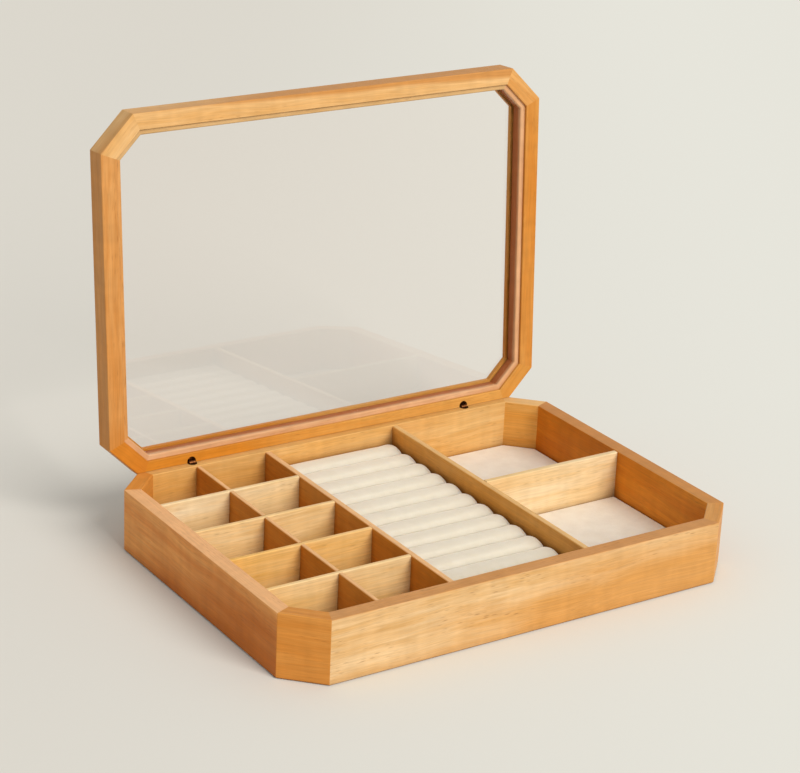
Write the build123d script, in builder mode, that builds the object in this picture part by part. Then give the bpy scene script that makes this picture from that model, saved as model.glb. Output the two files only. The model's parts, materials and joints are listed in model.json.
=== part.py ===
from build123d import *
import os
from math import cos, radians, sin, sqrt

# Octagonal wooden accessory organizer with a glazed hinged lid, standing open.
# Millimetres. The origin is the centre of the underside, +X right, -Y front, +Z up.

# Box shell
box_width = 320.0
box_depth = 231.0
rim_height = 41.0
corner_length = 22.0  # each leg of the cut corner
wall = 10.0
base_thickness = 6.0
base_rebate = 5.0  # how far the base panel reaches under the walls
base_fit = 0.2  # gap round the base panel in its rebate
edge_ease = 0.6  # rounding of the long wooden edges
foot_ease = 1.0  # bevel along the outer foot of the walls
corner_round = 1.2  # rounding of the upright corners

# Lid frame
lid_thickness = 15.0
rail_width = 10.4  # on the face that meets the rim
lip_reach = 4.8  # how far the outer lip overhangs the glass
lip_thickness = 3.2
glass_thickness = 2.0
glass_fit = 0.5
bead_width = 3.4
bead_height = 8.0
bead_round = 1.0

# Hinge
hinge_inset = 4.0  # pivot line from the back face
hinge_end_distance = 56.5  # each barrel hinge from its end of the box
opening_angle = 93.5
lid_gap = 0.2  # between rim and lid when shut
barrel_radius = 3.0
barrel_offset = 0.8  # barrel axis in front of the pivot line
barrel_length = 7.0
barrel_setback = 3.2  # barrel end from the pivot
barrel_fit = 0.1
knuckle_radius = 1.5
ear_thickness = 1.2
tongue_thickness = 1.4
knuckle_gap = 0.1
pin_radius = 0.6
pin_fit = 0.05

# Dividers
left_bay = 96.5
ring_bay = 92.5
bay_divider = 4.0
crate_divider = 3.0
divider_drop = 0.5  # divider tops below the rim
slot_fit = 0.1
divider_ease = 0.5
crate_rows = 5
back_tray = 100.0  # depth of the compartment at the back right

# Felt and velvet
felt_thickness = 4.0
felt_fit = 0.3
tray_board = 4.0
ring_rolls = 12
roll_height = 20.5
roll_crown = 3.4  # rise of the rounded top above the roll's shoulders
roll_gap = 0.3
roll_end_gap = 0.3
roll_end = 3.2  # length over which a roll's end rounds off
roll_end_drop = 2.6  # how far the section draws in at the very end
roll_end_steps = 2
roll_foot = 0.9  # how far each side draws in towards the foot

corner_share = 2 - sqrt(2)  # loss of the corner's leg for each unit of inset
quarter_turn = 90

sides = (
    "front", "front_right", "right", "back_right",
    "back", "back_left", "left", "front_left",
)
hinge_sides = ("back_right", "back", "back_left")
hinge_x = box_width / 2 - hinge_end_distance
hinge_xs = {"left": -hinge_x, "right": hinge_x}

# Inner faces of the shell
inner_x = box_width / 2 - wall
inner_y = box_depth / 2 - wall
divider_top = rim_height - divider_drop
felt_top = base_thickness + felt_thickness

# Bays, from left to right
left_divider_x = left_bay - inner_x
ring_left = left_divider_x + bay_divider
right_divider_x = ring_left + ring_bay
right_bay_left = right_divider_x + bay_divider
roll_pitch = 2 * inner_y / ring_rolls
roll_half = (roll_pitch - roll_gap) / 2

# The lid is laid out as it lies when shut, on a plane that is swung open about the hinge line.
# Box and lid are bevelled alike along that line, and the two bevels are the stop.
hinge_y = box_depth / 2 - hinge_inset
hinge_z = rim_height + lid_gap / 2
lean = radians(opening_angle - quarter_turn)
hinge_plane = Plane(origin=(0, hinge_y, hinge_z), x_dir=(1, 0, 0), z_dir=(0, cos(lean), -sin(lean)))
lid_plane = Plane(
    origin=hinge_plane.from_local_coords((0, -hinge_y, lid_gap / 2)),
    x_dir=hinge_plane.x_dir,
    z_dir=hinge_plane.z_dir,
)
lid_up = Axis(lid_plane.origin, lid_plane.z_dir)
half_opening = radians(opening_angle / 2)
bevel_normal = (0, sin(half_opening), cos(half_opening))
box_bevel = Plane(origin=(0, hinge_y, rim_height), x_dir=(1, 0, 0), z_dir=bevel_normal)
lid_bevel = Plane(
    origin=hinge_plane.from_local_coords((0, 0, lid_gap / 2)), x_dir=(1, 0, 0), z_dir=bevel_normal
)
glass_seat = lid_thickness - lip_thickness - glass_thickness  # above the lid's underside
hinge_hole_depth = barrel_setback + barrel_length - lid_gap / 2


def save(piece, name):
    """Label a finished piece and write it."""
    piece.part.label = name
    export_step(piece.part, f"parts/{name}.step")


def outline(inset):
    """Octagon inset from the outer faces, counter-clockwise from the front wall's left end."""
    half_x = box_width / 2 - inset
    half_y = box_depth / 2 - inset
    leg = corner_length - inset * corner_share
    return [
        (leg - half_x, -half_y),
        (half_x - leg, -half_y),
        (half_x, leg - half_y),
        (half_x, half_y - leg),
        (half_x - leg, half_y),
        (leg - half_x, half_y),
        (-half_x, half_y - leg),
        (-half_x, leg - half_y),
    ]


def strip(side, outer_inset, inner_inset):
    """Strip along one side of the octagon between two insets, with mitred ends."""
    start = sides.index(side)
    end = (start + 1) % len(sides)
    outer = outline(outer_inset)
    inner = outline(inner_inset)
    return Polygon(outer[start], outer[end], inner[end], inner[start], align=None)


def side_axes(side, plane):
    """Axes along one side of the octagon and outward from it, on a plane."""
    start = sides.index(side)
    end = (start + 1) % len(sides)
    points = outline(0)
    run_x = points[end][0] - points[start][0]
    run_y = points[end][1] - points[start][1]
    along = plane.x_dir * run_x + plane.y_dir * run_y
    outward = plane.x_dir * run_y - plane.y_dir * run_x
    return Axis(plane.origin, along), Axis(plane.origin, outward)


def frame_piece(side, plane, lower, upper, bevel, keep):
    """One mitred piece of an octagonal frame, rebated inside: two layers given as (height, width)."""
    along, outward = side_axes(side, plane)
    with BuildPart() as piece:
        with BuildSketch(plane):
            strip(side, 0, lower[1])
        extrude(amount=lower[0])
        with BuildSketch(plane.offset(lower[0])):
            strip(side, 0, upper[1])
        extrude(amount=upper[0])
        with BuildSketch(plane) as rounded_outline:
            Polygon(*outline(0), align=None)
            fillet(rounded_outline.vertices(), radius=corner_round)
        extrude(amount=lower[0] + upper[0], mode=Mode.INTERSECT)
        if side in hinge_sides:
            split(bisect_by=bevel, keep=keep)
        up = Axis(plane.origin, plane.z_dir)
        long_edges = piece.edges().filter_by(along)
        foot_edges, *_, top_edges = long_edges.group_by(up)
        outer_edges = long_edges.group_by(outward)[-1].sort_by(up)
        eased = [outer_edges[-1], top_edges.sort_by(outward)[0]]
        if plane == lid_plane:
            eased += [outer_edges[0], foot_edges.sort_by(outward)[0]]
        fillet(eased, radius=edge_ease)
        if plane != lid_plane:
            foot_edge = piece.edges().filter_by(along).group_by(outward)[-1].sort_by(up)[0]
            chamfer(foot_edge, length=foot_ease)
        if side == "back":
            mouth = -hinge_plane if plane == lid_plane else Plane(origin=hinge_plane.origin)
            forward = barrel_offset if plane == lid_plane else -barrel_offset
            spots = [Location((x, forward, -lid_gap / 2)) for x in hinge_xs.values()]
            with Locations(*[mouth.location * spot for spot in spots]):
                Hole(radius=barrel_radius + barrel_fit, depth=hinge_hole_depth)
    return piece


def bead_piece(side):
    """Glazing bead with a rounded nose along one side, in the corner between the rail and the glass."""
    along, outward = side_axes(side, lid_plane)
    with BuildPart() as piece:
        with BuildSketch(lid_plane.offset(glass_seat)):
            strip(side, rail_width, rail_width + bead_width)
        extrude(amount=-bead_height)
        under_edges = piece.faces().sort_by(lid_up)[0].edges()
        fillet(under_edges.filter_by(along).sort_by(outward)[0], radius=bead_round)
    return piece


def hinge_half(pivot, plates):
    """Barrel with flat knuckle plates round the pivot; plates are (start, thickness) across it."""
    with BuildPart() as half:
        with BuildSketch(pivot.offset(-barrel_setback)):
            with Locations((0, -barrel_offset)):
                Circle(barrel_radius)
        extrude(amount=-barrel_length)
        for start, thickness in plates:
            origin = pivot.from_local_coords((start, 0, 0))
            with BuildSketch(Plane(origin=origin, x_dir=pivot.y_dir, z_dir=pivot.x_dir)):
                Circle(knuckle_radius)
                with Locations((0, -barrel_setback / 2)):
                    Rectangle(2 * knuckle_radius, barrel_setback)
                Circle(pin_radius + pin_fit, mode=Mode.SUBTRACT)
            extrude(amount=thickness)
    return half


def span(places):
    """Distance between two places."""
    return places[1] - places[0]


def middle(x_range, y_range):
    """Point midway between two places along X and along Y."""
    return sum(x_range) / 2, sum(y_range) / 2


def upright_board(x_range, y_range, z_range, along, slots=()):
    """Upright divider with its two long top edges eased, and any halving slots cut through it."""
    with BuildPart() as board:
        with BuildSketch(Plane.XY.offset(z_range[0])):
            with Locations(middle(x_range, y_range)):
                Rectangle(span(x_range), span(y_range))
        extrude(amount=span(z_range))
        chamfer(board.faces().sort_by(Axis.Z)[-1].edges().filter_by(along), length=divider_ease)
        for slot_x, slot_y, slot_z in slots:
            with BuildSketch(Plane.XY.offset(slot_z[0])):
                with Locations(middle(slot_x, slot_y)):
                    Rectangle(span(slot_x), span(slot_y))
            extrude(amount=span(slot_z), mode=Mode.SUBTRACT)
    return board


def floor_pad(x_range, y_range, thickness):
    """Flat pad on the floor of a bay, following the shell's cut corners."""
    with BuildPart() as pad:
        with BuildSketch(Plane.XY.offset(base_thickness)):
            Polygon(*outline(wall + felt_fit), align=None)
            with Locations(middle(x_range, y_range)):
                Rectangle(span(x_range), span(y_range), mode=Mode.INTERSECT)
        extrude(amount=thickness)
    return pad


def ring_roll(y):
    """Padded roll across the ring bay: a flat foot, leaning sides and a crown, drawn in at both ends."""
    left = ring_left + roll_end_gap
    right = right_divider_x - roll_end_gap
    shoulder = roll_height - roll_crown
    turns = [radians(quarter_turn * step / roll_end_steps) for step in range(roll_end_steps + 1)]
    ends = [(roll_end * (1 - cos(a)), roll_end_drop * (1 - sin(a))) for a in turns]
    stations = [(left + along, drop) for along, drop in ends]
    stations += [(right - along, drop) for along, drop in reversed(ends)]
    with BuildPart() as roll:
        for x, drop in stations:
            half = roll_half - drop
            foot = (x, y, base_thickness + tray_board)
            with BuildSketch(Plane(origin=foot, x_dir=(0, 1, 0), z_dir=(1, 0, 0))):
                with BuildLine():
                    base = Line((roll_foot - half, 0), (half - roll_foot, 0))
                    Line(base @ 1, (half, shoulder))
                    ThreePointArc((half, shoulder), (0, roll_height - drop), (-half, shoulder))
                    Line((-half, shoulder), base @ 0)
                make_face()
        loft(ruled=True)
    return roll


os.makedirs("parts", exist_ok=True)

# Box shell: eight mitred wall pieces, rebated for the base panel
wall_foot = (base_thickness, wall - base_rebate)
wall_body = (rim_height - base_thickness, wall)
for side in sides:
    shell_piece = frame_piece(side, Plane.XY, wall_foot, wall_body, box_bevel, Keep.BOTTOM)
    save(shell_piece, f"{side}_corner" if "_" in side else f"{side}_wall")

with BuildPart() as base_panel:
    with BuildSketch():
        Polygon(*outline(wall - base_rebate + base_fit), align=None)
    extrude(amount=base_thickness)
save(base_panel, "base_panel")

# Bay dividers, glued between the front and back walls
full_depth = (-inner_y, inner_y)
board_height = (base_thickness, divider_top)
for name, x in (("left_bay_divider", left_divider_x), ("right_bay_divider", right_divider_x)):
    save(upright_board((x, x + bay_divider), full_depth, board_height, Axis.Y), name)

# Egg crate of small cells: one long board and its cross boards, halved into each other
crate_mid_x = left_bay / 2 - inner_x
crate_height = (felt_top, divider_top)
halving_z = sum(crate_height) / 2
cell_depth = (2 * inner_y - (crate_rows - 1) * crate_divider) / crate_rows
cross_ys = [
    inner_y - row * (cell_depth + crate_divider) + crate_divider / 2 for row in range(1, crate_rows)
]
long_x = (crate_mid_x - crate_divider / 2, crate_mid_x + crate_divider / 2)
slot_half = crate_divider / 2 + slot_fit
long_slots = [(long_x, (y - slot_half, y + slot_half), (halving_z, divider_top)) for y in cross_ys]
save(upright_board(long_x, full_depth, crate_height, Axis.Y, long_slots), "cell_divider_long")

slot_x = (crate_mid_x - slot_half, crate_mid_x + slot_half)
for number, y in enumerate(cross_ys, start=1):
    cross_x = (-inner_x, left_divider_x)
    cross_y = (y - crate_divider / 2, y + crate_divider / 2)
    cross_slot = (slot_x, cross_y, (felt_top, halving_z))
    cross_board = upright_board(cross_x, cross_y, crate_height, Axis.X, [cross_slot])
    save(cross_board, f"cell_divider_cross_{number}")

# Divider between the two large compartments on the right
tray_divider_back = inner_y - back_tray
tray_divider_y = (tray_divider_back - bay_divider, tray_divider_back)
tray_divider = upright_board((right_bay_left, inner_x), tray_divider_y, board_height, Axis.X)
save(tray_divider, "tray_divider")

# Felt floors
cell_lining = floor_pad((-inner_x, left_divider_x - felt_fit), full_depth, felt_thickness)
save(cell_lining, "cell_lining")
right_span = (right_bay_left + felt_fit, inner_x)
back_span = (tray_divider_y[1] + felt_fit, inner_y)
front_span = (-inner_y, tray_divider_y[0] - felt_fit)
save(floor_pad(right_span, back_span, felt_thickness), "back_tray_lining")
save(floor_pad(right_span, front_span, felt_thickness), "front_tray_lining")

# Ring cushion: a board with a row of padded rolls
ring_span = (ring_left + felt_fit, right_divider_x - felt_fit)
save(floor_pad(ring_span, full_depth, tray_board), "ring_tray_board")
for number in range(ring_rolls):
    roll = ring_roll(inner_y - (number + 1 / 2) * roll_pitch)
    save(roll, f"ring_roll_{number + 1:02d}")

# Lid: eight mitred rails with an outer lip, the glass under the lip, and beads that hold it
rail_body = (lid_thickness - lip_thickness, rail_width)
rail_lip = (lip_thickness, rail_width + lip_reach)
for side in sides:
    rail = frame_piece(side, lid_plane, rail_body, rail_lip, lid_bevel, Keep.TOP)
    save(rail, f"lid_{side}_corner" if "_" in side else f"lid_{side}_rail")
    save(bead_piece(side), f"glazing_bead_{side}")

with BuildPart() as glass_pane:
    with BuildSketch(lid_plane.offset(glass_seat)):
        Polygon(*outline(rail_width + glass_fit), align=None)
    extrude(amount=glass_thickness)
save(glass_pane, "glass_pane")

# Barrel hinges: a fork sunk in the back wall, a tongue sunk in the lid, and a pin through both
ear_start = tongue_thickness / 2 + knuckle_gap
fork_plates = ((-ear_start - ear_thickness, ear_thickness), (ear_start, ear_thickness))
tongue_plates = ((-tongue_thickness / 2, tongue_thickness),)
pin_half = ear_start + ear_thickness
for hand, x in hinge_xs.items():
    box_pivot = Plane(origin=(x, hinge_y, hinge_z))
    lid_pivot = Plane(origin=box_pivot.origin, x_dir=-hinge_plane.x_dir, z_dir=-hinge_plane.z_dir)
    save(hinge_half(box_pivot, fork_plates), f"hinge_fork_{hand}")
    save(hinge_half(lid_pivot, tongue_plates), f"hinge_tongue_{hand}")
    with BuildPart() as hinge_pin:
        with BuildSketch(Plane(origin=box_pivot.origin, x_dir=(0, 1, 0), z_dir=(1, 0, 0))):
            Circle(pin_radius)
        extrude(amount=pin_half, both=True)
    save(hinge_pin, f"hinge_pin_{hand}")
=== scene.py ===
import json
import math
import bpy
import numpy as np
from mathutils import Matrix, Vector


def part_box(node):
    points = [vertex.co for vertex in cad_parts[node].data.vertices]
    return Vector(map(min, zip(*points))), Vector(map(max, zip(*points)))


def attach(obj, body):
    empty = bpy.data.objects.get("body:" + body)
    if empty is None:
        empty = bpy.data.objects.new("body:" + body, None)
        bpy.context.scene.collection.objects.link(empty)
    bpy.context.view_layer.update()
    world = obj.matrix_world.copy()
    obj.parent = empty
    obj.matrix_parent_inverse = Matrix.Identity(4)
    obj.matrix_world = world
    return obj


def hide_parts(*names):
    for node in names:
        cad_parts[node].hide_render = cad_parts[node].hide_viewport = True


# Octagonal wooden accessory organizer with a glazed lid, dressed around its CAD frame. Metres.
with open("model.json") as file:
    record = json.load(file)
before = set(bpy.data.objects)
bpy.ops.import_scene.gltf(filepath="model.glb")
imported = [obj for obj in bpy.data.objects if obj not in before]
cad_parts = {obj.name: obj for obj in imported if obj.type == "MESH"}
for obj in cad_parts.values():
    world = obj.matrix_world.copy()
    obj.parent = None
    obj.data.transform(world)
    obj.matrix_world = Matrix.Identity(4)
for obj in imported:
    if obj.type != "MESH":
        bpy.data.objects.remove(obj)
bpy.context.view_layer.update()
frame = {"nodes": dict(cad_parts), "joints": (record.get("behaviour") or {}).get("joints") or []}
nodes = frame["nodes"]
scene = bpy.context.scene
scene.view_settings.view_transform = "Standard"
mm = 0.001
lidLean = math.radians(max(frame["joints"][0]["range_deg"]) - 90)  # lid past upright when open


def direction(azimuth, elevation):
    # from the box outwards, in degrees: azimuth 0 is its front and turns to its right
    azimuth = math.radians(azimuth)
    elevation = math.radians(elevation)
    level = math.cos(elevation)
    return Vector((math.sin(azimuth) * level, -math.cos(azimuth) * level, math.sin(elevation)))


# Camera at the photograph's viewing angle
cameraSetup = {
    "target": (-22.98, 0.0, 117.94),  # mm
    "distance": 1446.0,  # mm
    "azimuth": -33.73,  # degrees
    "elevation": 21.59,
    "roll": 2.62,
    "lens": 108.49,  # mm
    "sensor": 36.0,  # mm across the picture
    "clip": (0.01, 100.0),  # metres
}


def makeCamera(setup):
    back = direction(setup["azimuth"], setup["elevation"])
    right = Vector((0, 0, 1)).cross(back).normalized()
    up = back.cross(right)
    roll = math.radians(setup["roll"])
    turnedRight = math.cos(roll) * right + math.sin(roll) * up
    turnedUp = math.cos(roll) * up - math.sin(roll) * right
    data = bpy.data.cameras.new("photoCamera")
    data.sensor_fit = "HORIZONTAL"
    data.sensor_width = setup["sensor"]
    data.lens = setup["lens"]
    data.clip_start, data.clip_end = setup["clip"]
    camera = bpy.data.objects.new("photoCamera", data)
    scene.collection.objects.link(camera)
    place = Vector(setup["target"]) * mm + back * setup["distance"] * mm
    turn = Matrix((turnedRight, turnedUp, back)).transposed().to_4x4()
    camera.matrix_world = Matrix.Translation(place) @ turn
    scene.camera = camera


makeCamera(cameraSetup)
print("camera placed")


# Node helpers
mixShare, mixFirst, mixSecond, mixResult = 0, 6, 7, 2  # sockets of a Mix node that mixes colours


def linear(colour):
    # sRGB hex to linear RGBA
    channels = np.array([int(colour[i:i + 2], 16) for i in (1, 3, 5)]) / 255
    value = np.where(channels <= 0.04045, channels / 12.92, ((channels + 0.055) / 1.055) ** 2.4)
    return (*value.tolist(), 1.0)


def addNode(tree, kind, inputs=None, **settings):
    # one node: its settings are properties, and an input is a value, an output to link, or a node,
    # which then gives its first output
    node = tree.nodes.new("ShaderNode" + kind)
    for key, value in settings.items():
        setattr(node, key, value)
    for key, value in (inputs or {}).items():
        if isinstance(value, bpy.types.Node):
            value = value.outputs[0]
        if isinstance(value, bpy.types.NodeSocket):
            tree.links.new(value, node.inputs[key])
        else:
            node.inputs[key].default_value = value
    return node


def newTree(name):
    material = bpy.data.materials.new(name)
    material.use_nodes = True
    material.node_tree.nodes.clear()
    return material, material.node_tree


# Light, floor and backdrop
studio = {
    "keyAzimuth": 12,  # degrees to the right of the front
    "keyElevation": 33,
    "keySpread": 34,  # degrees, the width of the softbox as the box sees it
    "keyLevel": 0.84,  # 1 lights a facing white surface to white
    "keyColour": "#fffaf3",
    "fillLevel": 0.57,
    "fillColour": "#fbfaf6",
    "backdrop": "#e3e1d8",
    "paperPaintedShade": "#dbd9d3",  # painted shade: the paper is drawn a little darker on the left, as the light falls off
    "paperBright": "#e6e7e2",
    "paperTurn": (0.83, -0.56, 0),  # towards the bright side
    "paperFade": 330.0,  # mm to either side
    "paperTooth": 0.8,  # mm
    "toothBump": 0.1,
    "toothDepth": 0.05,  # mm
    "fadeFrom": 2.2,  # metres from the box, where the paper starts to go over into the backdrop
    "fadeTo": 6.5,
    "floorReach": 9.0,  # metres
}


def makeKey(setup):
    # softbox: a lamp far away, as wide as its spread
    towards = direction(setup["keyAzimuth"], setup["keyElevation"])
    data = bpy.data.lights.new("keySoftbox", "SUN")
    data.angle = math.radians(setup["keySpread"])
    data.energy = setup["keyLevel"] * math.pi
    data.color = linear(setup["keyColour"])[:3]
    lamp = bpy.data.objects.new("keySoftbox", data)
    lamp.rotation_mode = "QUATERNION"
    lamp.rotation_quaternion = (-towards).to_track_quat("-Z", "Y")
    scene.collection.objects.link(lamp)


def makeRoom(setup):
    # the camera, mirrors and glass see the backdrop, and all else is lit by the fill
    world = bpy.data.worlds.new("studioRoom")
    world.use_nodes = True
    tree = world.node_tree
    tree.nodes.clear()
    path = addNode(tree, "LightPath").outputs
    mirror = addNode(tree, "Math", {0: path["Is Glossy Ray"], 1: path["Is Transmission Ray"]})
    seen = addNode(tree, "Math", {0: path["Is Camera Ray"], 1: mirror}, use_clamp=True)
    fillColour = linear(setup["fillColour"])
    fill = addNode(tree, "Background", {"Color": fillColour, "Strength": setup["fillLevel"]})
    view = addNode(tree, "Background", {"Color": linear(setup["backdrop"]), "Strength": 1})
    mixed = addNode(tree, "MixShader", {0: seen, 1: fill, 2: view})
    addNode(tree, "OutputWorld", {0: mixed})
    scene.world = world


def makePaper(setup):
    # matte paper: pale, with a faint tooth and painted shade darker towards the left, and gone far away so
    # that no horizon shows
    material, tree = newTree("sweepPaper")
    coords = addNode(tree, "TexCoord").outputs["Object"]
    tooth = addNode(tree, "TexNoise", {"Vector": coords, "Scale": 1 / (setup["paperTooth"] * mm)})
    bump = addNode(
        tree,
        "Bump",
        {"Strength": setup["toothBump"], "Distance": setup["toothDepth"] * mm, "Height": tooth},
    )
    side = addNode(tree, "VectorMath", {0: coords, 1: setup["paperTurn"]}, operation="DOT_PRODUCT")
    fade = setup["paperFade"] * mm
    brightShare = addNode(
        tree,
        "MapRange",
        {"Value": side.outputs["Value"], "From Min": -fade, "From Max": fade},
        interpolation_type="SMOOTHSTEP",
    )
    colour = addNode(
        tree,
        "Mix",
        {
            mixShare: brightShare,
            mixFirst: linear(setup["paperPaintedShade"]),
            mixSecond: linear(setup["paperBright"]),
        },
        data_type="RGBA",
    )
    paper = addNode(
        tree,
        "BsdfPrincipled",
        {
            "Base Color": colour.outputs[mixResult],
            "Roughness": 1,
            "Specular IOR Level": 0,
            "Normal": bump,
        },
    )
    away = addNode(tree, "VectorMath", {0: coords}, operation="LENGTH")
    gone = addNode(
        tree,
        "MapRange",
        {"Value": away.outputs["Value"], "From Min": setup["fadeFrom"], "From Max": setup["fadeTo"]},
        interpolation_type="SMOOTHSTEP",
    )
    clear = addNode(tree, "BsdfTransparent")
    faded = addNode(tree, "MixShader", {0: gone, 1: paper, 2: clear})
    addNode(tree, "OutputMaterial", {0: faded})
    return material


def makeFloor(setup):
    # one flat square under the box, out to the reach on every side
    reach = setup["floorReach"]
    corners = [(x * reach, y * reach, 0) for x, y in ((-1, -1), (1, -1), (1, 1), (-1, 1))]
    mesh = bpy.data.meshes.new("floor")
    mesh.from_pydata(corners, [], [(0, 1, 2, 3)])
    mesh.materials.append(makePaper(setup))
    floor = bpy.data.objects.new("floor", mesh)
    scene.collection.objects.link(floor)


makeKey(studio)
makeRoom(studio)
makeFloor(studio)
print("light and floor set")


# Wood: sanded rubberwood under satin lacquer. The eye sees broad bands along a grain that sways,
# short flame-like streaks, fine fibre and dark pores like dashes that come in drifts, and the stain
# lies warmer in places. Marks are their length along the grain and their width across it, in mm; the
# pores are drawn wide enough to show. A range is where on its noise a mark starts and where it is full.
woodLook = {
    "bands": (170.0, 8.0),
    "streaks": (24.0, 2.4),
    "streakTwist": 0.4,
    "streakShare": 0.7,  # weight of the streaks beside the bands
    "darkRange": (0.62, 1.08),
    "darkMost": 0.85,
    "patches": (150.0, 34.0),  # of warmer stain
    "warmFrom": 0.36,
    "warmSpan": 0.34,
    "warmMost": 0.85,
    "fibre": (40.0, 0.7),
    "figure": (7.0, 24.0),
    "figureShare": 0.45,
    "shadeRange": (0.5, 0.95),
    "shade": (0.87, 1.08),  # times the colour, from dark fibre to light
    "pores": (9.0, 1.5),
    "poreRange": (0.08, 0.3),  # core and rim of a pore, in pores
    "poreColour": "#6e4320",
    "poreThin": 0.25,  # how far the lean to the warm tone hides the pores
    "drifts": (45.0, 8.0),
    "driftRange": (0.45, 0.65),
    "driftLeast": 0.05,  # what is left of the pores between the drifts
    "sway": 6.0,  # mm that the grain wanders
    "swayLength": 70.0,  # mm
    "tilt": 0.03,  # most that the grain runs out of line with its board
    "apart": 5.0,  # metres, most that a board was cut from the middle of the pattern
    "seed": 11,
    "edge": 0.5,  # mm, how far down from its top a board takes the painted light and shade of its top
    "paintedTopMost": 0.8,
    "paintedShadeReach": 13.0,  # mm, how far out of a corner the painted shade reaches
    "paintedShadeSamples": 8,
    "paintedShadeRange": (0.25, 0.65),  # how open a corner is with all of that painted shade, and with none
    "paintedShadeColour": "#5c2a08",
    "paintedShadeShare": 0.6,
    "roughRange": (0.3, 0.7),
    "roughSpread": 0.06,
    "bump": 0.35,
    "relief": 0.06,  # mm
    "ior": 1.45,
    "specular": 0.16,
}
# Each board keeps its own tone, as sawn boards do, and the tones are also painted light and shade: a board
# whose seen faces are lit is drawn paler, one whose faces lie in shade darker and more saturated. rough is
# its lacquer's roughness, and pores is how strongly they show.
woodTones = {
    "cream": {"light": "#ebd6b0", "dark": "#e0be88", "warm": "#e2bc7e", "rough": 0.46, "pores": 0.25},
    "butter": {"light": "#eacd9c", "dark": "#deb372", "warm": "#e1b264", "rough": 0.46, "pores": 0.3},
    "pale": {"light": "#e9c389", "dark": "#dca95e", "warm": "#e0aa4c", "rough": 0.46, "pores": 0.3},
    "straw": {"light": "#dcba8c", "dark": "#c99a5c", "warm": "#c88c44", "rough": 0.46, "pores": 0.45},
    "wheat": {"light": "#deb67a", "dark": "#cf9d58", "warm": "#d1923e", "rough": 0.46, "pores": 0.3},
    "flax": {"light": "#dfb47c", "dark": "#cf9c5c", "warm": "#bf8140", "rough": 0.46, "pores": 0.3},
    "honey": {"light": "#d9a564", "dark": "#c78740", "warm": "#c57a28", "rough": 0.46, "pores": 0.3},
    "tan": {"light": "#d0995c", "dark": "#bf7e3c", "warm": "#bf7526", "rough": 0.46, "pores": 0.3},
    "oat": {"light": "#cba674", "dark": "#bf945c", "warm": "#b88a50", "rough": 0.46, "pores": 0.2},
    "maple": {"light": "#e5ae60", "dark": "#d49342", "warm": "#d89336", "rough": 0.46, "pores": 0.25},
    "orange": {"light": "#d89a50", "dark": "#c68036", "warm": "#c97822", "rough": 0.44, "pores": 0.25},
    "amber": {"light": "#d0984f", "dark": "#bd7a32", "warm": "#c5761e", "rough": 0.44, "pores": 0.3},
    "gold": {"light": "#d49e53", "dark": "#c68537", "warm": "#c67a1c", "rough": 0.44, "pores": 0.25},
    "copper": {"light": "#ea9a34", "dark": "#d97f24", "warm": "#c46c0c", "rough": 0.46, "pores": 0.25},
    "toffee": {"light": "#d4903c", "dark": "#c07526", "warm": "#c57616", "rough": 0.46, "pores": 0.25},
    "russet": {"light": "#e8a35a", "dark": "#d6843c", "warm": "#b86218", "rough": 0.5, "pores": 0.25},
    "rose": {"light": "#d9aa80", "dark": "#c79264", "warm": "#a9520f", "rough": 0.4, "pores": 0.12},
}
boardTones = {
    "cream": ("tray_divider", "cell_divider_cross_1"),
    "butter": ("cell_divider_cross_2", "cell_divider_cross_4"),
    "pale": ("cell_divider_cross_3",),
    "straw": ("front_wall",),
    "wheat": ("back_wall",),
    "flax": ("lid_front_rail", "lid_front_left_corner"),
    "honey": ("front_right_corner", "lid_front_right_corner"),
    "tan": ("lid_left_rail", "glazing_bead_left"),
    "oat": ("glazing_bead_front_left", "glazing_bead_front"),
    "maple": ("right_bay_divider", "back_right_corner"),
    "orange": ("front_left_corner", "back_left_corner"),
    "amber": ("lid_right_rail", "lid_back_left_corner"),
    "gold": ("lid_back_rail", "lid_back_right_corner"),
    "copper": ("right_wall",),
    "toffee": ("left_bay_divider", "cell_divider_long"),
    "russet": ("left_wall",),
    "rose": tuple(
        "glazing_bead_" + side for side in ("front_right", "right", "back_right", "back", "back_left")
    ),
}
# Where the colour goes over into the warm tone: its rise a metre along the grain, across it and up, taken
# with the lid shut, and what is added all over
toneLean = {
    "front_wall": (2.0, 0, -9.0, 0),
    "right_wall": (1.6, 0, 0, 0),
    "back_wall": (-1.1, 0, 0, 0),
    "left_wall": (-1.0, 0, -7.0, 0),
    "front_left_corner": (0, 0, -6.0, 0),
    "lid_left_rail": (1.3, 0, 0, 0),
    "lid_right_rail": (1.2, 0, 0, 0),
    "lid_front_rail": (0.4, -140.0, 0, -0.7),
    "lid_front_left_corner": (0, -140.0, 0, -0.7),
    "lid_back_rail": (-2.6, 0, 0, 0),
    "lid_back_left_corner": (0, 0, -30.0, 0),
    "cell_divider_cross_1": (0, 0, -9.0, 0),
    "cell_divider_cross_2": (0, 0, -7.0, 0),
    "cell_divider_cross_3": (0, 0, -5.0, 0),
    "cell_divider_cross_4": (-5.0, 0, -5.0, 0),
}
evenTone = (0, 0, 0, 0)
beadShadeLean = (0, 0, 120.0, 0.25)  # painted shade: the beads go over into their dark warm tone deep in their recess, and stay pale on their noses
# Painted light and shade: the tops of these boards go over into a colour of their own, lighter or darker than
# the faces, as the light falls on them
paintedTopColours = {
    "front_wall": "#c4864a",
    "right_wall": "#bd864e",
    "left_wall": "#e6b584",
    "back_right_corner": "#e2ba80",
    "right_bay_divider": "#e2ba80",
    "left_bay_divider": "#ecbf8c",
    "cell_divider_long": "#ecbf8c",
}
boardRandom = np.random.default_rng(woodLook["seed"])


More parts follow.
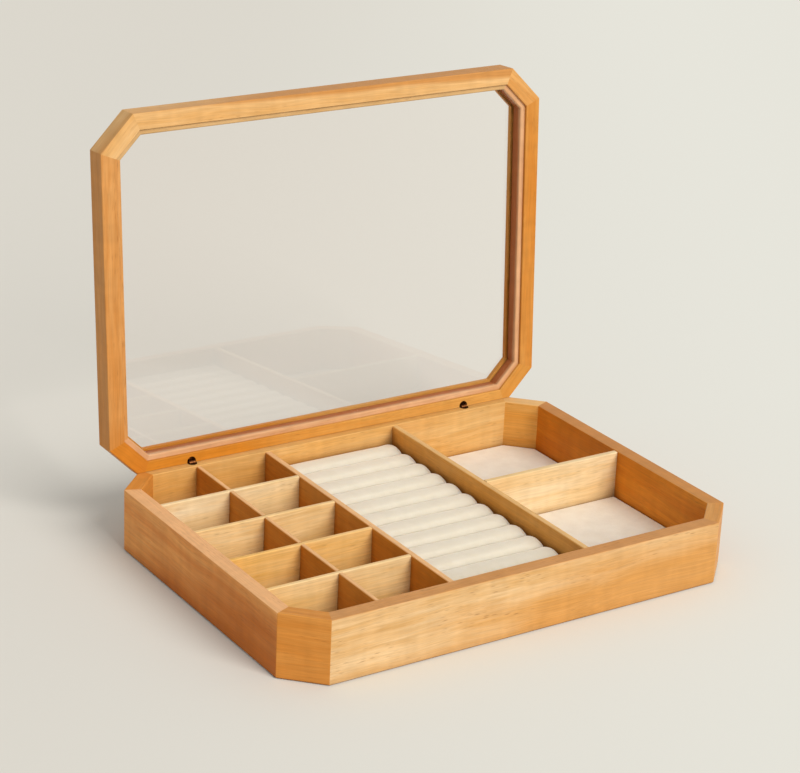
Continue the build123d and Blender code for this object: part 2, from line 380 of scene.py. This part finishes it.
def boardAxes(name):
    # grain along each piece; the lid's plane is the box's plan swung upright
    words = name.split("_")
    alongFront = "front" in words or "back" in words
    alongSide = "left" in words or "right" in words
    if "divider" in words:
        run = (1, 0) if "cross" in words or "tray" in words else (0, 1)
    elif alongFront and alongSide:
        sign = 1 if ("front" in words) == ("right" in words) else -1
        run = (math.sqrt(0.5), sign * math.sqrt(0.5))
    else:
        run = (1, 0) if alongFront else (0, 1)
    planX = Vector((1, 0, 0))
    if words[0] in ("lid", "glazing"):
        planY = Vector((0, -math.sin(lidLean), -math.cos(lidLean)))
    else:
        planY = Vector((0, 1, 0))
    normal = planX.cross(planY)
    grain = planX * run[0] + planY * run[1]
    return grain, normal.cross(grain), normal


def boardCoordinates(tree, name, look):
    # the board's own axes from its middle, and the same as the grain flows: shifted to where the board was
    # cut, and swayed
    grain, across, normal = boardAxes(name)
    low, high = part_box(name)
    tilt = boardRandom.uniform(-look["tilt"], look["tilt"])
    axes = Matrix((grain + tilt * across, across - tilt * grain, normal)).normalized()
    start = Vector(boardRandom.uniform(-look["apart"], look["apart"], 3))
    place = -(axes @ ((low + high) / 2))
    coords = addNode(tree, "TexCoord").outputs["Object"]
    board = addNode(
        tree, "Mapping", {"Vector": coords, "Location": place, "Rotation": axes.to_euler()}
    )
    cut = addNode(tree, "VectorMath", {0: board, 1: start})
    slow = addNode(tree, "TexNoise", {"Vector": cut, "Scale": 1 / (look["swayLength"] * mm), "Detail": 1})
    sway = (0, look["sway"] * mm, look["sway"] * mm)
    flow = addNode(
        tree, "VectorMath", {0: slow.outputs["Color"], 1: sway, 2: cut}, operation="MULTIPLY_ADD"
    )
    return board, flow


def bandedTone(tree, along, look, tone):
    # bands and flame-like streaks mix the light and the dark wood
    bands = addNode(tree, "TexNoise", {"Vector": along("bands"), "Scale": 1, "Detail": 3})
    streaks = addNode(
        tree,
        "TexNoise",
        {"Vector": along("streaks"), "Scale": 1, "Detail": 3, "Distortion": look["streakTwist"]},
    )
    laid = addNode(tree, "Math", {0: streaks, 1: look["streakShare"], 2: bands}, operation="MULTIPLY_ADD")
    darkFrom, darkFull = look["darkRange"]
    darkShare = addNode(
        tree,
        "MapRange",
        {"Value": laid, "From Min": darkFrom, "From Max": darkFull, "To Max": look["darkMost"]},
    )
    banded = addNode(
        tree,
        "Mix",
        {mixShare: darkShare, mixFirst: linear(tone["light"]), mixSecond: linear(tone["dark"])},
        data_type="RGBA",
    )
    return banded.outputs[mixResult]


def warmedTone(tree, along, look, tone, colour, lean, more):
    # the stain lies warmer in patches, and the colour goes warmer towards one side of some boards; on the
    # beads that is painted shade
    patches = addNode(tree, "TexNoise", {"Vector": along("patches"), "Scale": 1, "Detail": 2})
    leaned = addNode(tree, "Math", {0: patches, 1: lean})
    warmFrom = look["warmFrom"] - more
    warmFull = warmFrom + look["warmSpan"]
    warmShare = addNode(
        tree,
        "MapRange",
        {"Value": leaned, "From Min": warmFrom, "From Max": warmFull, "To Max": look["warmMost"]},
    )
    warmMix = addNode(
        tree,
        "Mix",
        {mixShare: warmShare, mixFirst: colour, mixSecond: linear(tone["warm"])},
        data_type="RGBA",
    )
    return warmMix.outputs[mixResult]


def paintedTopTone(tree, name, look, colour, board):
    # painted light and shade: the top of the board goes over into its own colour
    low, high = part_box(name)
    edgeTop = (high.z - low.z) / 2
    edgeFoot = edgeTop - look["edge"] * mm
    height = addNode(tree, "SeparateXYZ", {0: board}).outputs["Z"]
    paintedTopShare = addNode(
        tree,
        "MapRange",
        {"Value": height, "From Min": edgeFoot, "From Max": edgeTop, "To Max": look["paintedTopMost"]},
    )
    paintedTop = addNode(
        tree,
        "Mix",
        {mixShare: paintedTopShare, mixFirst: colour, mixSecond: linear(paintedTopColours[name])},
        data_type="RGBA",
    )
    return paintedTop.outputs[mixResult]


def poreDashes(tree, along, look, lean):
    # short dashes that come in drifts, fewer where the colour leans warm
    cells = addNode(tree, "TexVoronoi", {"Vector": along("pores"), "Scale": 1})
    core, rim = look["poreRange"]
    dash = addNode(
        tree,
        "MapRange",
        {"Value": cells.outputs["Distance"], "From Min": core, "From Max": rim, "To Min": 1, "To Max": 0},
    )
    drifts = addNode(tree, "TexNoise", {"Vector": along("drifts"), "Scale": 1, "Detail": 2})
    thinned = addNode(tree, "Math", {0: lean, 1: -look["poreThin"], 2: drifts}, operation="MULTIPLY_ADD")
    driftFrom, driftFull = look["driftRange"]
    gathered = addNode(
        tree,
        "MapRange",
        {"Value": thinned, "From Min": driftFrom, "From Max": driftFull, "To Min": look["driftLeast"]},
    )
    return addNode(tree, "Math", {0: dash, 1: gathered}, operation="MULTIPLY")


def woodColour(tree, name, look, tone):
    # the colour of one board, and the fibre and the pores in it
    board, flow = boardCoordinates(tree, name, look)
    *slope, more = beadShadeLean if name.startswith("glazing_bead") else toneLean.get(name, evenTone)
    lean = addNode(tree, "VectorMath", {0: board, 1: slope}, operation="DOT_PRODUCT").outputs["Value"]

    def along(kind):
        # grain coordinates in units of one mark of this kind
        length, width = (side * mm for side in look[kind])
        size = (1 / length, 1 / width, 1 / width)
        return addNode(tree, "VectorMath", {0: flow, 1: size}, operation="MULTIPLY")

    colour = bandedTone(tree, along, look, tone)
    colour = warmedTone(tree, along, look, tone, colour, lean, more)
    # painted light and shade on the top of some boards
    if name in paintedTopColours:
        colour = paintedTopTone(tree, name, look, colour, board)
    # fibre along the grain and a faint figure across it
    fibre = addNode(tree, "TexNoise", {"Vector": along("fibre"), "Scale": 1, "Detail": 3})
    figure = addNode(tree, "TexNoise", {"Vector": along("figure"), "Scale": 1, "Detail": 1})
    woven = addNode(tree, "Math", {0: figure, 1: look["figureShare"], 2: fibre}, operation="MULTIPLY_ADD")
    shadeFrom, shadeFull = look["shadeRange"]
    darkest, lightest = look["shade"]
    shade = addNode(
        tree,
        "MapRange",
        {"Value": woven, "From Min": shadeFrom, "From Max": shadeFull, "To Min": darkest, "To Max": lightest},
    )
    fibrous = addNode(tree, "VectorMath", {0: colour, "Scale": shade}, operation="SCALE")
    pores = poreDashes(tree, along, look, lean)
    poreShare = addNode(tree, "Math", {0: pores, 1: tone["pores"]}, operation="MULTIPLY")
    marked = addNode(
        tree,
        "Mix",
        {mixShare: poreShare, mixFirst: fibrous, mixSecond: linear(look["poreColour"])},
        data_type="RGBA",
    )
    return marked.outputs[mixResult], fibre, pores


def makeWood(name, look, tone):
    material, tree = newTree("rubberwood_" + name)
    colour, fibre, pores = woodColour(tree, name, look, tone)
    # painted shade: the colour goes dark in corners, where they are closed in; the glass must not count as
    # one, so a lid board looks only at itself
    corner = addNode(
        tree,
        "AmbientOcclusion",
        {"Distance": look["paintedShadeReach"] * mm},
        samples=look["paintedShadeSamples"],
        only_local=name.startswith("lid"),
    )
    paintedShadeFull, paintedShadeFrom = look["paintedShadeRange"]
    paintedShadeShare = addNode(
        tree,
        "MapRange",
        {
            "Value": corner.outputs["AO"],
            "From Min": paintedShadeFull,
            "From Max": paintedShadeFrom,
            "To Min": look["paintedShadeShare"],
            "To Max": 0,
        },
    )
    paintedCornerShade = addNode(
        tree,
        "Mix",
        {mixShare: paintedShadeShare, mixFirst: colour, mixSecond: linear(look["paintedShadeColour"])},
        data_type="RGBA",
    )
    # satin lacquer: the fibre varies its roughness, the pores sink
    roughFrom, roughFull = look["roughRange"]
    roughness = addNode(
        tree,
        "MapRange",
        {
            "Value": fibre,
            "From Min": roughFrom,
            "From Max": roughFull,
            "To Min": tone["rough"] - look["roughSpread"],
            "To Max": tone["rough"] + look["roughSpread"],
        },
    )
    relief = addNode(tree, "Math", {0: pores, 1: -1, 2: fibre}, operation="MULTIPLY_ADD")
    bump = addNode(
        tree, "Bump", {"Strength": look["bump"], "Distance": look["relief"] * mm, "Height": relief}
    )
    surface = addNode(
        tree,
        "BsdfPrincipled",
        {
            "Base Color": paintedCornerShade.outputs[mixResult],
            "Roughness": roughness,
            "IOR": look["ior"],
            "Specular IOR Level": look["specular"],
            "Normal": bump,
        },
    )
    addNode(tree, "OutputMaterial", {0: surface})
    return material


def dress(name, material):
    nodes[name].material_slots[0].material = material


for tone, names in boardTones.items():
    for name in names:
        dress(name, makeWood(name, woodLook, woodTones[tone]))
print("wood grained")


# Glass: clear float glass, so its two faces mirror the box faintly; wiping left a little haze
glassLook = {
    "tint": "#fffcfa",
    "ior": 1.5,
    "haze": 90.0,  # mm
    "hazeRange": (0.4, 0.7),
    "hazeRoughness": 0.02,
}


def makeGlass(look):
    material, tree = newTree("floatGlass")
    coords = addNode(tree, "TexCoord").outputs["Object"]
    haze = addNode(tree, "TexNoise", {"Vector": coords, "Scale": 1 / (look["haze"] * mm), "Detail": 2})
    hazeFrom, hazeFull = look["hazeRange"]
    film = addNode(
        tree,
        "MapRange",
        {"Value": haze, "From Min": hazeFrom, "From Max": hazeFull, "To Max": look["hazeRoughness"]},
    )
    pane = addNode(
        tree,
        "BsdfPrincipled",
        {
            "Base Color": linear(look["tint"]),
            "Roughness": film,
            "IOR": look["ior"],
            "Transmission Weight": 1,
        },
    )
    # light for the wood and the paper goes straight through
    path = addNode(tree, "LightPath").outputs
    clear = addNode(tree, "BsdfTransparent")
    passing = addNode(
        tree, "Math", {0: path["Is Shadow Ray"], 1: path["Is Diffuse Ray"]}, operation="MAXIMUM"
    )
    mixed = addNode(tree, "MixShader", {0: passing, 1: pane, 2: clear})
    addNode(tree, "OutputMaterial", {0: mixed})
    return material


dress("glass_pane", makeGlass(glassLook))
print("lid glazed")


# Hinges: brass gone dark, lighter and smoother where it is rubbed
brassLook = {
    "dark": "#4a2614",
    "rubbed": "#8f5c34",
    "patch": 1.5,  # mm
    "patchRange": (0.3, 0.7),
    "darkRoughness": 0.45,
    "rubbedRoughness": 0.28,
}


def makeBrass(look):
    material, tree = newTree("darkenedBrass")
    coords = addNode(tree, "TexCoord").outputs["Object"]
    patches = addNode(tree, "TexNoise", {"Vector": coords, "Scale": 1 / (look["patch"] * mm), "Detail": 3})
    colour = addNode(
        tree,
        "Mix",
        {mixShare: patches, mixFirst: linear(look["dark"]), mixSecond: linear(look["rubbed"])},
        data_type="RGBA",
    )
    patchFrom, patchFull = look["patchRange"]
    dull = addNode(
        tree,
        "MapRange",
        {
            "Value": patches,
            "From Min": patchFrom,
            "From Max": patchFull,
            "To Min": look["darkRoughness"],
            "To Max": look["rubbedRoughness"],
        },
    )
    metal = addNode(
        tree,
        "BsdfPrincipled",
        {"Base Color": colour.outputs[mixResult], "Roughness": dull, "Metallic": 1},
    )
    addNode(tree, "OutputMaterial", {0: metal})
    return material


brass = makeBrass(brassLook)
for hand in ("left", "right"):
    for piece in ("hinge_fork_", "hinge_tongue_", "hinge_pin_"):
        dress(piece + hand, brass)
print("hinges darkened")


# Panels: hardboard, brown and even with a fine felted fleck
hardboardLook = {
    "dark": "#7d5a38",
    "light": "#a98053",
    "fleck": 1.2,  # mm
    "bump": 0.3,
    "relief": 0.08,  # mm
    "roughness": 0.7,
}


def makeHardboard(look):
    material, tree = newTree("hardboard")
    coords = addNode(tree, "TexCoord").outputs["Object"]
    fleck = addNode(tree, "TexNoise", {"Vector": coords, "Scale": 1 / (look["fleck"] * mm), "Detail": 4})
    colour = addNode(
        tree,
        "Mix",
        {mixShare: fleck, mixFirst: linear(look["dark"]), mixSecond: linear(look["light"])},
        data_type="RGBA",
    )
    bump = addNode(
        tree, "Bump", {"Strength": look["bump"], "Distance": look["relief"] * mm, "Height": fleck}
    )
    board = addNode(
        tree,
        "BsdfPrincipled",
        {"Base Color": colour.outputs[mixResult], "Roughness": look["roughness"], "Normal": bump},
    )
    addNode(tree, "OutputMaterial", {0: board})
    return material


hardboard = makeHardboard(hardboardLook)
dress("base_panel", hardboard)
dress("ring_tray_board", hardboard)
print("panels set")


# Velvet and felt: off-white short pile that scatters light at its edges and shows brushed patches. The
# pile is drawn coarser than it is, so that it shows.
pileLook = {
    "pileShare": 0.4,  # weight of the pile beside the brushed patches
    "paleRange": (0.45, 0.95),
    "bump": 0.5,
    "relief": 0.12,  # mm
    "roughness": 0.95,
    "specular": 0.1,
    "scatter": (1, 0.9, 0.75),  # red travels furthest
    "sheenRoughness": 0.45,
    "sheenTint": "#fff6e8",
}
velvetLook = {
    **pileLook,
    "name": "cottonVelvet",
    "pale": "#ded5c4",
    "shaded": "#d8cfbd",
    "pile": 0.55,  # mm
    "brushed": 7.0,  # mm
    "depth": 14.0,  # mm that light travels in the pile and the wadding
    "sheen": 0.7,
}
feltLook = {
    **pileLook,
    "name": "woolFelt",
    # painted light: the felt is drawn paler than the velvet of the rolls, which stand higher in the light
    "pale": "#ebe4d7",
    "shaded": "#dfd6c8",
    "pile": 0.7,
    "brushed": 11.0,
    "depth": 1.5,
    "sheen": 0.3,
}


def makePile(look):
    material, tree = newTree(look["name"])
    coords = addNode(tree, "TexCoord").outputs["Object"]
    pile = addNode(tree, "TexNoise", {"Vector": coords, "Scale": 1 / (look["pile"] * mm), "Detail": 2})
    nap = addNode(tree, "TexNoise", {"Vector": coords, "Scale": 1 / (look["brushed"] * mm), "Detail": 3})
    mottle = addNode(tree, "Math", {0: pile, 1: look["pileShare"], 2: nap}, operation="MULTIPLY_ADD")
    paleFrom, paleFull = look["paleRange"]
    paleShare = addNode(tree, "MapRange", {"Value": mottle, "From Min": paleFrom, "From Max": paleFull})
    colour = addNode(
        tree,
        "Mix",
        {mixShare: paleShare, mixFirst: linear(look["shaded"]), mixSecond: linear(look["pale"])},
        data_type="RGBA",
    )
    bump = addNode(
        tree, "Bump", {"Strength": look["bump"], "Distance": look["relief"] * mm, "Height": pile}
    )
    cloth = addNode(
        tree,
        "BsdfPrincipled",
        {
            "Base Color": colour.outputs[mixResult],
            "Roughness": look["roughness"],
            "Specular IOR Level": look["specular"],
            "Subsurface Weight": 1,
            "Subsurface Radius": look["scatter"],
            "Subsurface Scale": look["depth"] * mm,
            "Sheen Weight": look["sheen"],
            "Sheen Roughness": look["sheenRoughness"],
            "Sheen Tint": linear(look["sheenTint"]),
            "Normal": bump,
        },
    )
    addNode(tree, "OutputMaterial", {0: cloth})
    return material


velvet = makePile(velvetLook)
felt = makePile(feltLook)


def closedSurface(name, rings, startPole, endPole, material):
    # rings of points (ring, round, xyz), joined ring to ring and closed by a fan on each pole
    count, around = rings.shape[:2]
    points = np.concatenate([rings.reshape(-1, 3), startPole[None], endPole[None]])
    index = np.arange(count * around).reshape(count, around)
    nextIndex = np.roll(index, -1, axis=1)
    quads = np.stack([index[:-1], nextIndex[:-1], nextIndex[1:], index[1:]], axis=-1).reshape(-1, 4)
    startFan = np.stack([nextIndex[0], index[0], np.full(around, count * around)], axis=-1)
    endFan = np.stack([index[-1], nextIndex[-1], np.full(around, count * around + 1)], axis=-1)
    triangles = np.concatenate([startFan, endFan, quads[:, [0, 1, 2]], quads[:, [0, 2, 3]]])
    a, b, c = (points[triangles[:, k]] for k in range(3))
    if np.einsum("ij,ij->", a, np.cross(b, c)) < 0:  # turned inside out
        quads = quads[:, ::-1]
        startFan = startFan[:, ::-1]
        endFan = endFan[:, ::-1]
    mesh = bpy.data.meshes.new(name)
    mesh.from_pydata(points.tolist(), [], quads.tolist() + startFan.tolist() + endFan.tolist())
    mesh.shade_smooth()
    mesh.materials.append(material)
    piece = bpy.data.objects.new(name, mesh)
    scene.collection.objects.link(piece)
    return piece


# Ring rolls
rollLook = {
    "steps": 72,  # along the roll
    "around": 40,
    "poleGap": 0.02,  # share of the half turn that bunches the steps, left out at each end
    "crown": (1.4, 3.2),  # mm, rise of the rounded top at the left and at the right
    "slack": 0.6,  # share of that rise before the cover is filled
    "endRound": 5.5,  # mm over which an end closes
    "endDrop": 4.5,  # mm that its tip lies below the shoulder
    "endPower": 2.2,
    "grooveDrift": 0.2,  # mm
    "crownDrift": 0.15,  # mm
    "driftDivisors": (1.0, 1.6, 2.4),  # of one, two and three waves along the roll
    "seed": 5,
    "footSquare": 4.0,
    "pinned": 6.0,  # mm below the shoulder, from where down the cover is glued
    "drawn": 40.0,  # times larger while it is filled, so that the cloth has real weight
    "pressure": 4.0,
    "frames": 16,
    "reach": 1.6,  # mm that a point may move
    "pressFrom": 6.0,  # mm above the foot, from where up the cover is pressed
    "fill": 0.8,
}


def fillCovers(covers, look):
    # Cloth: each closed cover is held at its foot and filled with air; returns the new points
    drawn = []
    for name, points, faces, held in covers:
        mesh = bpy.data.meshes.new(name)
        mesh.from_pydata((points * look["drawn"]).tolist(), [], faces)
        cover = bpy.data.objects.new(name, mesh)
        scene.collection.objects.link(cover)
        cover.vertex_groups.new(name="glued").add(np.flatnonzero(held).tolist(), 1, "REPLACE")
        cloth = cover.modifiers.new("filled", "CLOTH")
        cloth.settings.use_pressure = True
        cloth.settings.uniform_pressure_force = look["pressure"]
        cloth.settings.vertex_group_mass = "glued"
        cloth.settings.effector_weights.gravity = 0
        cloth.collision_settings.use_collision = False
        cloth.point_cache.frame_end = look["frames"]
        drawn.append(cover)
    for step in range(1, look["frames"] + 1):
        scene.frame_set(step)
    graph = bpy.context.evaluated_depsgraph_get()
    results = []
    for cover in drawn:
        filled = cover.evaluated_get(graph).data
        flat = np.empty(len(filled.vertices) * 3)
        filled.vertices.foreach_get("co", flat)
        results.append(flat.reshape(-1, 3) / look["drawn"])
    scene.frame_set(1)
    for cover in drawn:
        mesh = cover.data
        bpy.data.objects.remove(cover)
        bpy.data.meshes.remove(mesh)
    return results


def seatCover(before, after, room, look):
    # each point moves by the reach at most, and the cover is pressed to its crest and kept in its room
    low, high, front, back, crest = room
    limit = look["reach"] * mm
    move = after - before
    size = np.linalg.norm(move, axis=1, keepdims=True)
    points = before + move * (limit / np.maximum(size, limit))
    rings = points[:-2].reshape(look["steps"], look["around"], 3)  # all but the poles, in place
    foot = low.z + look["pressFrom"] * mm
    highest = rings[..., 2].max(1)
    press = np.clip((rings[..., 2] - foot) / (highest - foot)[:, None], 0, 1)
    rings[..., 2] += (crest - highest)[:, None] * press
    rings[..., 0] = np.clip(rings[..., 0], low.x, high.x)
    rings[..., 1] = np.clip(rings[..., 1], front[:, None], back[:, None])
    points[-2:] = before[-2:]
    return points


def rollLines(look, low, high):
    # Along a roll: steps bunched at the ends, the rise of its crown, how far its section has opened, which
    # closes at each end as a superellipse, and how far the ends drop
    halfTurn = np.pi * np.linspace(look["poleGap"], 1 - look["poleGap"], look["steps"])
    along = (1 - np.cos(halfTurn)) / 2
    x = low.x + (high.x - low.x) * along
    crown = np.interp(along, (0, 1), look["crown"]) * mm
    endGap = np.minimum(x - low.x, high.x - x)
    share = np.clip(endGap / (look["endRound"] * mm), 0, 1)
    opened = (1 - (1 - share) ** look["endPower"]) ** (1 / look["endPower"])
    drop = look["endDrop"] * mm * (1 - opened)
    return along, x, crown, opened, drop


def rollSection(look):
    # Round a roll: a cosine arch over a squared foot, as shares of its half width and of its height
    angle = np.linspace(0, 2 * np.pi, look["around"], endpoint=False)
    cosine = np.cos(angle)
    sine = np.sin(angle)
    square = 2 / look["footSquare"]
    top = sine >= 0
    outY = np.where(top, cosine, np.sign(cosine) * np.abs(cosine) ** square)
    outZ = np.where(top, np.cos(np.pi / 2 * cosine), -np.abs(sine) ** square)
    return top, outY, outZ


def makeRolls(look):
    # Roll: its section stands on the line of its shoulder, arch above and foot below, and neighbours share
    # wavy grooves. The covers are then filled as cloth, within the reach and the room of each roll, and
    # pressed back to the height of the crown.
    random = np.random.default_rng(look["seed"])
    names = sorted(name for name in nodes if name.startswith("ring_roll_"))
    boxes = [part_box(name) for name in names]
    low, high = boxes[0]
    radius = (high.y - low.y) / 2
    along, x, crown, opened, drop = rollLines(look, low, high)
    shoulder = high.z - crown
    top, outY, outZ = rollSection(look)

    def drift(size):
        # a sum of waves along the roll, each at a phase of its own, of about this size in mm
        divisors = np.array(look["driftDivisors"])[:, None]
        phase = random.uniform(0, 2 * np.pi, len(divisors))
        count = np.arange(1, len(divisors) + 1)[:, None]
        waves = np.sin(2 * np.pi * count * along + phase[:, None])
        return size * mm * (waves / divisors).sum(0) / 2  # where all the waves meet they add up to about 2

    straight = np.zeros_like(x)
    grooves = [straight] + [drift(look["grooveDrift"]) for _ in names[1:]] + [straight]
    pieces = []
    covers = []
    rooms = []
    for number, (low, high) in enumerate(boxes):
        backShift = grooves[number]
        frontShift = grooves[number + 1]
        middle = (low.y + high.y) / 2 + (backShift + frontShift) / 2
        half = radius + (backShift - frontShift) / 2
        y = middle[:, None] + (half * opened)[:, None] * outY[None]
        rise = (look["slack"] * crown * opened)[:, None]
        depth = ((shoulder - low.z) * np.sqrt(opened))[:, None]
        z = shoulder[:, None] + np.where(top[None], rise, depth) * outZ[None] - drop[:, None] * top[None]
        rings = np.stack([np.broadcast_to(x[:, None], y.shape), y, z], axis=-1)
        startPole = np.array([low.x, middle[0], shoulder[0] - drop[0]])
        endPole = np.array([high.x, middle[-1], shoulder[-1] - drop[-1]])
        piece = closedSurface(f"ringRoll{number + 1:02d}", rings, startPole, endPole, velvet)
        pieces.append(piece)
        points = np.concatenate([rings.reshape(-1, 3), startPole[None], endPole[None]])
        faces = [list(face.vertices) for face in piece.data.polygons]
        held = points[:, 2] < shoulder.min() - look["pinned"] * mm
        covers.append((piece.name, points, faces, held))
        crest = np.minimum(shoulder + crown * opened - drop + drift(look["crownDrift"]), high.z)
        rooms.append((low, high, low.y + frontShift, high.y + backShift, crest))
    slack = [points for _, points, _, _ in covers]
    filled = fillCovers(covers, look)
    for piece, name, before, after, room in zip(pieces, names, slack, filled, rooms):
        piece.data.vertices.foreach_set("co", seatCover(before, after, room, look).ravel())
        piece.data.update()
        smooth = piece.modifiers.new("smooth", "SUBSURF")
        smooth.levels = 1
        smooth.render_levels = 1
        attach(piece, "box")
        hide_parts(name)


makeRolls(rollLook)
print("ring rolls padded")


# Tray and cell floors
liningLook = {
    "cornerRound": 2.0,  # mm
    "cornerSteps": 7,
    "edgeRound": 1.9,  # mm
    "edgeSteps": 8,
    "footRound": 0.3,  # mm
    "around": 220,
    "rings": 24,  # from the top edge to the middle, both counted
    "underRings": (0.35, 0.7),  # shares of the way out from the middle of the underside
    "topBand": 0.1,  # mm below the top, within which a point of the solid belongs to its outline
    "swell": 0.12,  # mm of unevenness
    "swellWaves": 5,
    "swellSize": 16.0,  # mm for each radian of the shortest wave
    "fill": 0.35,
}


def roundedOutline(corners, radius, steps, count):
    # convex outline with round corners, evenly sampled, and the angle of its outward normal
    edges = np.roll(corners, -1, axis=0) - corners
    normalAngle = np.unwrap(np.arctan2(-edges[:, 0], edges[:, 1]))
    incoming = np.roll(normalAngle, 1)
    incoming[0] -= 2 * np.pi
    bisector = (incoming + normalAngle) / 2
    inset = radius / np.cos((normalAngle - incoming) / 2)
    centres = corners - inset[:, None] * np.stack([np.cos(bisector), np.sin(bisector)], axis=-1)
    turn = np.linspace(0, 1, steps)
    angles = (incoming[:, None] + (normalAngle - incoming)[:, None] * turn).ravel()
    outward = np.stack([np.cos(angles), np.sin(angles)], axis=-1)
    points = np.repeat(centres, steps, axis=0) + radius * outward
    points = np.concatenate([points, points[:1]])
    angles = np.append(angles, angles[0] + 2 * np.pi)
    travelled = np.concatenate([[0], np.cumsum(np.linalg.norm(np.diff(points, axis=0), axis=1))])
    even = np.linspace(0, travelled[-1], count, endpoint=False)
    outline = np.stack([np.interp(even, travelled, points[:, k]) for k in range(2)], axis=-1)
    return outline, np.interp(even, travelled, angles)


def makeLining(name, node, look, seed):
    # Pad: rings go out along the underside, up the side, round the top edge and in to the middle, each
    # following the outline, and a few long waves swell the top
    low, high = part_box(node)
    co = np.array([v.co for v in nodes[node].data.vertices])
    upper = co[co[:, 2] > high.z - look["topBand"] * mm]
    flat = np.unique(np.round(upper[:, :2], 6), axis=0)  # the same points are alike to a micron
    centre = flat.mean(0)
    corners = flat[np.argsort(np.arctan2(flat[:, 1] - centre[1], flat[:, 0] - centre[0]))]
    outline, angle = roundedOutline(corners, look["cornerRound"] * mm, look["cornerSteps"], look["around"])
    outward = np.stack([np.cos(angle), np.sin(angle)], axis=-1)
    edge = look["edgeRound"] * mm
    foot = look["footRound"] * mm
    turn = np.linspace(0, np.pi / 2, look["edgeSteps"])
    inset = np.concatenate([[edge, foot, 0], edge * (1 - np.cos(turn))])
    height = np.concatenate([[low.z, low.z, low.z + foot], high.z - edge + edge * np.sin(turn)])
    rim = outline[None] - inset[:, None, None] * outward[None]
    share = np.linspace(1, 0, look["rings"])[1:-1]
    inner = centre + share[:, None, None] * (rim[-1] - centre)[None]
    underShare = np.array(look["underRings"])
    under = centre + underShare[:, None, None] * (rim[0] - centre)[None]
    plan = np.concatenate([under, rim, inner])
    z = np.concatenate([np.full(len(under), low.z), height, np.full(len(inner), high.z)])
    random = np.random.default_rng(seed)
    waves = look["swellWaves"]
    phase = random.uniform(0, 2 * np.pi, (waves, 1, 1))
    wave = random.uniform(-1, 1, (waves, 2)) / (look["swellSize"] * mm)
    swell = np.sin(np.einsum("kc,rsc->krs", wave, plan) + phase).sum(0) / waves * look["swell"] * mm
    onTop = np.clip((z - low.z) / (high.z - low.z), 0, 1)[:, None]
    rings = np.concatenate([plan, (z[:, None] + swell * onTop)[..., None]], axis=-1)
    piece = closedSurface(name, rings, np.array([*centre, low.z]), np.array([*centre, high.z]), felt)
    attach(piece, "box")
    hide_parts(node)


floors = {
    "cellFloor": "cell_lining",
    "backTrayFloor": "back_tray_lining",
    "frontTrayFloor": "front_tray_lining",
}
for seed, (name, node) in enumerate(floors.items()):
    makeLining(name, node, liningLook, seed)
print("floors lined")
